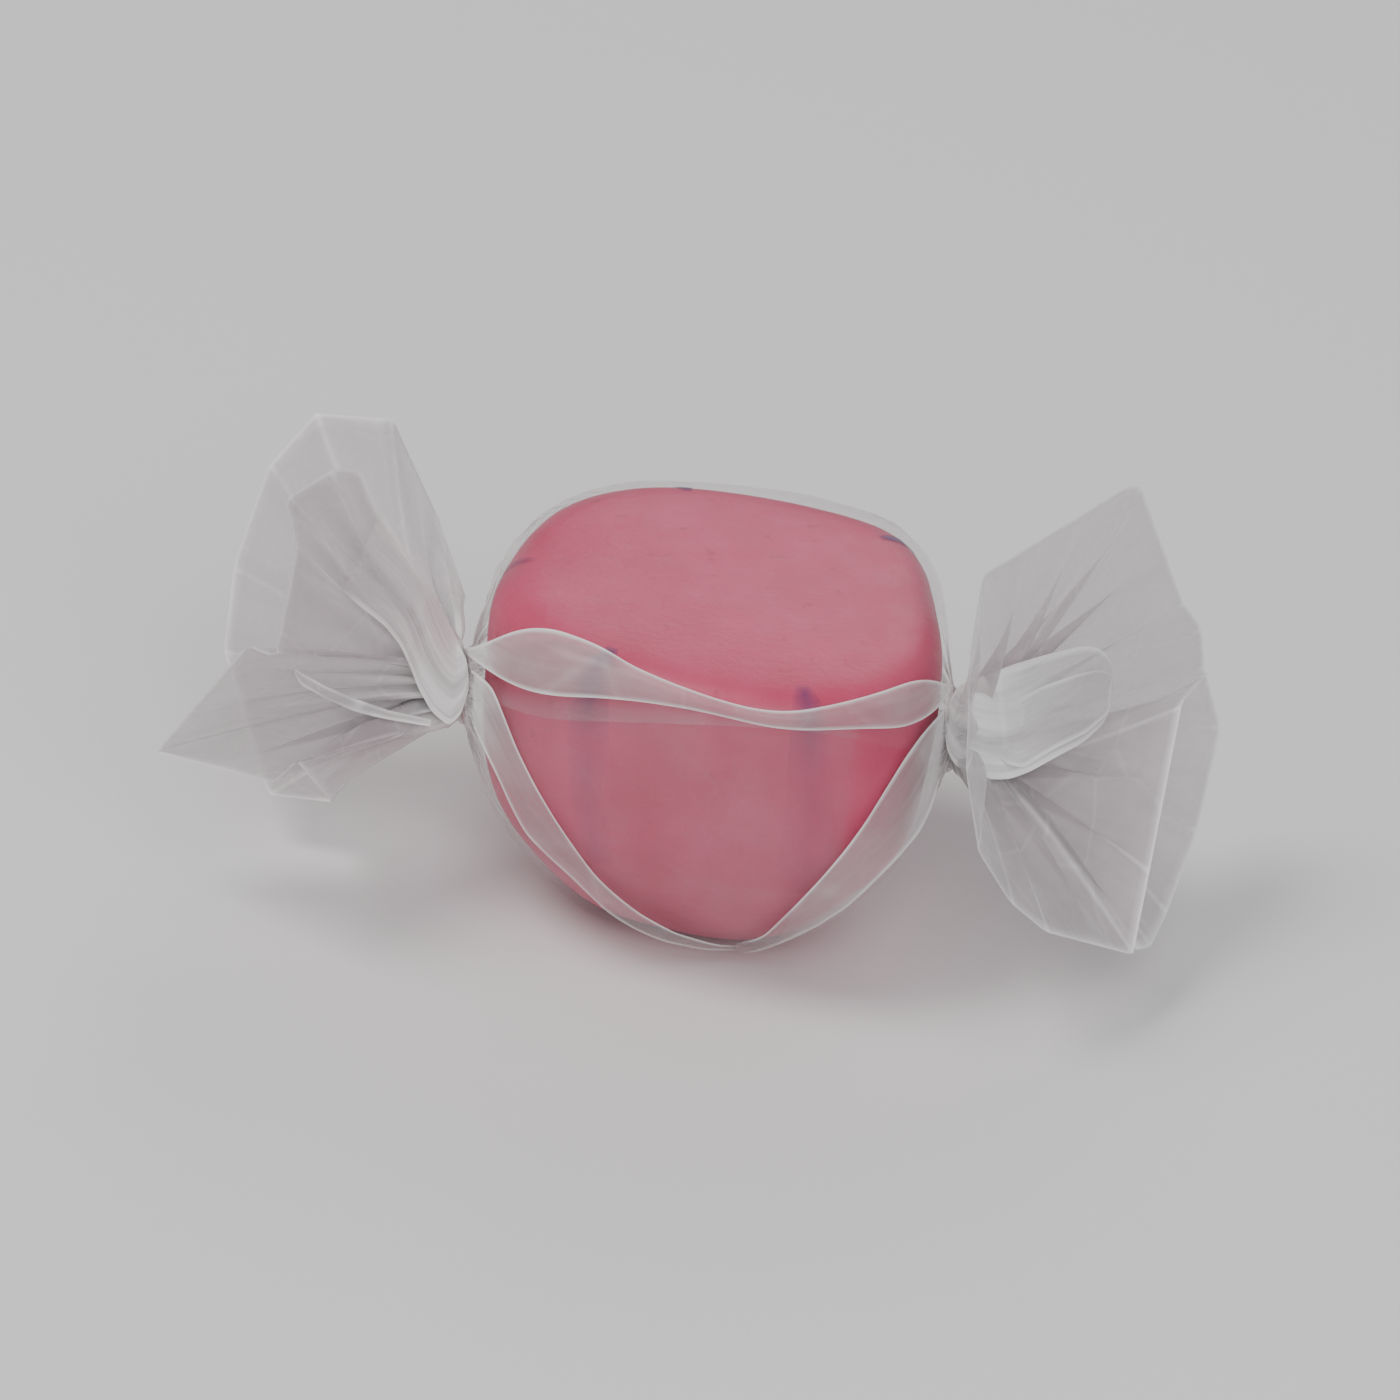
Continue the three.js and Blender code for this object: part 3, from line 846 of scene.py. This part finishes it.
# Folded strips of the wrapper. Their edges are (across, up) as the camera sees them, in
# millimetres from the middle of the twist. Foremost is how near the camera a layer of a free
# end may be for the strip to lie on it, and steps is how long the strip is drawn tight.
strips = {
    "wrapperLap": {
        "upper": [(-13.9, 2.0), (-12.7, 2.3), (-11.7, 2.8), (-10.7, 3.3), (-9.7, 3.5), (-8.6, 3.5),
                  (-7.5, 3.2), (-6.4, 2.9), (-5.3, 2.4), (-4.4, 1.9), (-2.3, 1.2), (-0.1, 0.6),
                  (1.9, 0.2), (3.3, 0.1), (4.6, 0.2), (5.8, 0.5), (7.1, 0.9), (8.5, 1.4),
                  (9.7, 1.9), (10.7, 2.4), (11.7, 2.6), (12.8, 2.4)],
        "lower": [(-13.7, 1.8), (-12.8, 1.3), (-11.5, 0.6), (-10.2, 0.1), (-8.9, -0.1), (-7.6, -0.1),
                  (-6.2, 0.0), (-3.8, 0.0), (-2.2, -0.1), (-0.9, -0.2), (0.6, -0.4), (1.9, -0.6),
                  (3.4, -0.8), (5.1, -0.8), (6.8, -0.6), (8.4, -0.4), (10.5, -0.2), (11.5, 0.3),
                  (12.3, 0.9), (12.9, 1.8)],
        "clearance": 0.95,
        "swell": 0.3,
        "lift": (0.9, 0.75, 0.45, 0.5, 0.8),
    },
    "wrapperFoldLeft": {
        "upper": [(-13.5, 1.1), (-11.9, 0.2), (-11.1, -1.4), (-10.2, -3.2), (-9.1, -5.0), (-7.9, -6.7),
                  (-6.7, -8.2), (-5.5, -9.6), (-4.3, -10.6), (-2.8, -11.6), (-0.8, -12.5), (1.6, -13.0),
                  (3.3, -12.9)],
        "lower": [(-13.3, -1.4), (-12.2, -3.2), (-11.2, -4.8), (-10.3, -6.4), (-9.4, -7.8), (-8.1, -8.9),
                  (-6.8, -9.9), (-5.6, -10.9), (-4.5, -11.8), (-2.9, -12.6), (-1.4, -13.1), (1.0, -13.4),
                  (3.4, -13.2)],
        "clearance": 0.8,
        "swell": 0.2,
        "lift": (0.9, 0.6, 0.55, 0.5, 0.0),
    },
    "wrapperFoldRight": {
        "upper": [(2.6, -12.8), (4.0, -12.3), (4.8, -11.3), (5.6, -10.3), (6.9, -8.6), (8.0, -7.0),
                  (8.9, -5.5), (9.8, -3.7), (10.7, -1.9), (11.6, -0.4), (12.9, 1.2)],
        "lower": [(2.6, -13.5), (3.9, -13.2), (5.3, -12.5), (6.9, -11.5), (8.5, -10.2), (9.6, -8.9),
                  (10.8, -7.5), (12.1, -5.8), (12.7, -4.3), (13.0, -2.8), (13.5, -1.7)],
        "clearance": 0.85,
        "swell": 0.4,
        "lift": (0.0, 0.6, 0.7, 0.8, 0.9),
    },
    "wrapperTongue": {
        "upper": [(13.0, 0.3), (13.1, 1.5), (13.5, 2.4), (14.8, 3.0), (16.4, 3.8), (18.2, 4.5),
                  (20.3, 5.2), (21.3, 5.2), (22.0, 4.7), (22.3, 3.9), (22.4, 3.3)],
        "lower": [(13.0, -0.1), (13.2, -1.2), (13.7, -2.0), (14.8, -2.4), (15.7, -2.6), (16.8, -2.5),
                  (17.9, -2.0), (19.1, -1.2), (20.8, -0.1), (21.9, 1.1), (22.4, 2.9)],
        "clearance": 0.3,
        "swell": 0.6,
        "lift": (0.95, 0.9, 0.75, 0.5, 0.2),
        "foremost": 3.5,
        "steps": 1500,
    },
    "wrapperTongueLoop": {
        "upper": [(15.6, 0.4), (16.4, 1.6), (18.3, 2.8), (20.1, 3.6), (21.5, 4.0), (22.1, 3.8)],
        "lower": [(15.7, -0.8), (16.6, -1.7), (17.5, -1.8), (19.0, -0.7), (20.8, 0.4), (22.0, 1.6),
                  (22.2, 3.4)],
        "clearance": 1.7,
        "swell": 0.3,
        "lift": (0.3, 0.15, 0.15, 0.15, 0.15),
        "foremost": 3.5,
        "steps": 1500,
    },
    "wrapperBunch": {
        "upper": [(-18.6, 9.0), (-17.1, 6.9), (-15.8, 5.2), (-14.9, 3.7), (-14.1, 2.4), (-13.5, 1.4),
                  (-13.3, 0.2)],
        "lower": [(-20.3, 4.6), (-19.5, 3.9), (-18.0, 2.9), (-17.1, 1.9), (-16.6, 1.0), (-16.0, -0.4),
                  (-15.2, -1.6), (-14.2, -2.3), (-13.6, -1.6), (-13.3, -0.2)],
        "clearance": 0.25,
        "swell": 0.5,
        "lift": (0.0, 0.4, 0.75, 0.9, 0.95),
        "foremost": 12,
        "steps": 60,
    },
    "wrapperFlapFold": {
        "upper": [(-22.7, 0.2), (-22.3, -0.05), (-20.9, -0.7), (-19.5, -1.2), (-17.5, -1.7),
                  (-15.2, -2.0)],
        "lower": [(-22.6, -0.1), (-22.3, -0.7), (-20.9, -1.4), (-19.5, -1.9), (-17.5, -2.2),
                  (-15.2, -2.4)],
        "clearance": 0.2,
        "swell": 0.15,
        "lift": (0.3, 0.8, 0.7, 0.5, 0.5),
        "foremost": 8,
        "steps": 30,
    },
}

stripLook = {
    "columns": 121,
    "rows": 13,
    "deepest": -9,
    "nearest": 18,
    "depthSteps": 271,
    "knotNear": 1.4,
    "tightSteps": 1500,
    "roundSteps": 12,
    "softenSteps": 20,
    "fanStart": 13.3,
    "hidden": -30,
    "touch": 0.45,
    "edgeWidth": 0.22,
    "knotX": 14,
    # Whiteness of the strips, towards the knots partly painted light standing in for light through the
    # gathered paper
    "gather": 0.12,
    "knotGather": 0.83,
}


# How high and how near the camera sees a place
def fromCamera(place):
    tilt = math.radians(stage["elevation"])
    seenUp = place[..., 1] * math.sin(tilt) + place[..., 2] * math.cos(tilt)
    return seenUp, place[..., 2] * math.sin(tilt) - place[..., 1] * math.cos(tilt)


def toCamera(across, seenUp, seenNear):
    tilt = math.radians(stage["elevation"])
    y = seenUp * math.sin(tilt) - seenNear * math.cos(tilt)
    z = seenUp * math.cos(tilt) + seenNear * math.sin(tilt)
    return np.stack(np.broadcast_arrays(across, y, z), -1)


# Evenly spaced points of a line of corners, with the corners rounded
def softLine(corners, count):
    corners = np.array(corners)
    lengths = np.append(0, np.cumsum(np.linalg.norm(np.diff(corners, axis=0), axis=1)))
    line = [np.interp(np.linspace(0, lengths[-1], count), lengths, corners[:, k]) for k in range(2)]
    line = np.stack(line, 1)
    for step in range(stripLook["roundSteps"]):
        line[1:-1] = (line[:-2] + 2 * line[1:-1] + line[2:]) / 4
    return line


# Draws a strip's lines tight between their ends, over what lies beneath
def drawTight(near, floor, steps):
    for step in range(steps):
        near[:, 1:-1] = np.maximum(floor[:, 1:-1], (near[:, :-2] + near[:, 2:]) / 2)
    return near


# A strip over the puck lies on it where the camera sees it and is taut from there to the knots
def overPuck(across, seenUp, strip):
    depths = np.linspace(stripLook["deepest"], stripLook["nearest"], stripLook["depthSteps"])
    trial = toCamera(across[..., None], seenUp[..., None], depths)
    gap = puckDistance(trial) - strip["clearance"]
    last = depths[len(depths) - 1 - np.argmax((gap < 0)[..., ::-1], -1)]
    floor = np.where((gap < 0).any(-1), last, stripLook["deepest"])
    knotted = smoothStep(np.abs(across), 12.4, 13.3)
    beside = stripLook["knotNear"] * knotted + depths[np.argmin(gap, -1)] * (1 - knotted)
    return drawTight(np.maximum(floor, beside), floor, stripLook["tightSteps"])


# A strip on a free end lies on the first layer that the camera sees behind the strip's limit
def overFan(across, seenUp, strip, place):
    layer = place[place[..., 0] * np.sign(across[0, 0]) > stripLook["fanStart"]]
    layerUp, layerNear = fromCamera(layer)
    layerNear = np.where(layerNear < strip["foremost"], layerNear, stripLook["hidden"])
    floor = np.empty(across.shape)
    for spot in np.ndindex(across.shape):
        gap = np.hypot(layer[:, 0] - across[spot], layerUp - seenUp[spot])
        floor[spot] = layerNear[gap < gap.min() + stripLook["touch"]].max()
    for step in range(stripLook["softenSteps"]):
        floor[:, 1:-1] = (floor[:, :-2] + 2 * floor[:, 1:-1] + floor[:, 2:]) / 4
        floor[1:-1] = (floor[:-2] + 2 * floor[1:-1] + floor[2:]) / 4
    return drawTight(floor.copy(), floor, strip["steps"]) + strip["clearance"]


def buildStrip(name, place, material):
    strip = strips[name]
    columns = stripLook["columns"]
    share = np.linspace(0, 1, stripLook["rows"])[:, None, None]
    edges = softLine(strip["lower"], columns) * (1 - share) + softLine(strip["upper"], columns) * share
    across, seenUp = edges[..., 0], edges[..., 1]
    far = np.abs(across)
    if "foremost" in strip:
        near = overFan(across, seenUp, strip, place)
        rounded = smoothStep(far, 13.6, 15.5)
    else:
        near = overPuck(across, seenUp, strip)
        rounded = smoothStep(far, 13.2, 10.5)
    near = near + strip["swell"] * np.sin(math.pi * share[..., 0]) * rounded
    wide = np.linalg.norm(edges[-1] - edges[0], axis=-1)
    border = np.minimum(share[..., 0], 1 - share[..., 0]) * wide
    flat = np.stack([np.broadcast_to(far, near.shape), share[..., 0] * wide], -1)
    lift = np.interp(np.linspace(0, 1, columns), np.linspace(0, 1, len(strip["lift"])), strip["lift"])
    fromKnot = (far - stripLook["knotX"]) / np.where(far > stripLook["knotX"], 8, 2)
    painted = {
        "lift": lift,
        # Whiter towards the knots, partly painted light standing in for light through the gathered paper
        "gather": stripLook["gather"] + stripLook["knotGather"] * np.exp(-fromKnot ** 2),
        # Strip borders whitened with a painted highlight
        "edge": smoothStep(border, stripLook["edgeWidth"], 0.0) * np.clip(5 * lift, 0, 0.75),
        "fold": 0.0,
    }
    layPaper(name, toCamera(across, seenUp, near), flat, painted, material)


# Floor, light and camera

stage = {
    "floorColour": (0.82, 0.81, 0.80),
    "floorSize": 3,
    "skyStrength": 0.28,
    "skyColour": (0.92, 0.94, 1.0),
    "elevation": 29,
    "roll": 5,
    "distance": 0.42,
    "fill": 0.76,
    "lowered": 0.001,
    "lit": (0, 0, 0.01),
}

# Place, size in metres, power in watts and colour of each light
lights = {
    "softKey": ((-0.27, -0.08, 0.49), 0.25, 1.7, (1.0, 0.98, 0.95)),
    "softFill": ((0.14, -0.50, 0.42), 0.5, 2.2, (0.97, 0.98, 1.0)),
    "softRim": ((0.1, 0.5, 0.35), 0.4, 0.8, (1.0, 1.0, 1.0)),
}


def floorMaterial():
    shader = Shader("paleFloor")
    colour = (*stage["floorColour"], 1)
    surface = shader.node("ShaderNodeBsdfPrincipled", {}, {"Base Color": colour, "Roughness": 0.7})
    return shader.finish(surface)


def buildFloor():
    sweep = bmesh.new()
    bmesh.ops.create_grid(sweep, x_segments=1, y_segments=1, size=stage["floorSize"])
    mesh = bpy.data.meshes.new("paleFloor")
    sweep.to_mesh(mesh)
    sweep.free()
    mesh.materials.append(floorMaterial())
    floor = bpy.data.objects.new("paleFloor", mesh)
    bpy.context.collection.objects.link(floor)


def aim(thing, target, roll=0.0):
    direction = Vector(target) - thing.location
    thing.rotation_euler = direction.to_track_quat("-Z", "Y").to_euler()
    thing.rotation_euler.rotate_axis("Z", roll)


def addLight(name, place, size, power, colour):
    lamp = bpy.data.lights.new(name, "AREA")
    lamp.shape = "DISK"
    lamp.size = size
    lamp.energy = power
    lamp.color = colour
    thing = bpy.data.objects.new(name, lamp)
    thing.location = place
    bpy.context.collection.objects.link(thing)
    aim(thing, stage["lit"])


def buildLights():
    world = bpy.data.worlds.new("studio")
    world.use_nodes = True
    background = world.node_tree.nodes["Background"]
    background.inputs["Color"].default_value = (*stage["skyColour"], 1)
    background.inputs["Strength"].default_value = stage["skyStrength"]
    bpy.context.scene.world = world
    for name, settings in lights.items():
        addLight(name, *settings)


def buildCamera():
    low, high = [Vector(corner) for corner in cadBox]
    target = (low + high) / 2
    target.z -= stage["lowered"]
    lens = bpy.data.cameras.new("camera")
    lens.sensor_width = 36
    across = (high.x - low.x) / stage["fill"]
    lens.lens = lens.sensor_width * stage["distance"] / across
    lens.clip_start = 0.01
    camera = bpy.data.objects.new("camera", lens)
    up = math.radians(stage["elevation"])
    camera.location = target + Vector((0, -math.cos(up), math.sin(up))) * stage["distance"]
    bpy.context.collection.objects.link(camera)
    aim(camera, target, math.radians(stage["roll"]))
    bpy.context.scene.camera = camera


bpy.context.scene.cycles.transparent_max_bounces = 24
buildCamera()
buildLights()
buildFloor()
buildTaffy()
print("taffy built")
stripeCandy = stripeMaterial()
waxedPaper = paperMaterial()
for stripeIndex in range(len(stripeLook["angles"])):
    buildStripe(stripeIndex, stripeCandy)
print("stripes built")
paperPlaces = buildPaper(waxedPaper)
for stripName in strips:
    buildStrip(stripName, paperPlaces, waxedPaper)
print("wrapper built")
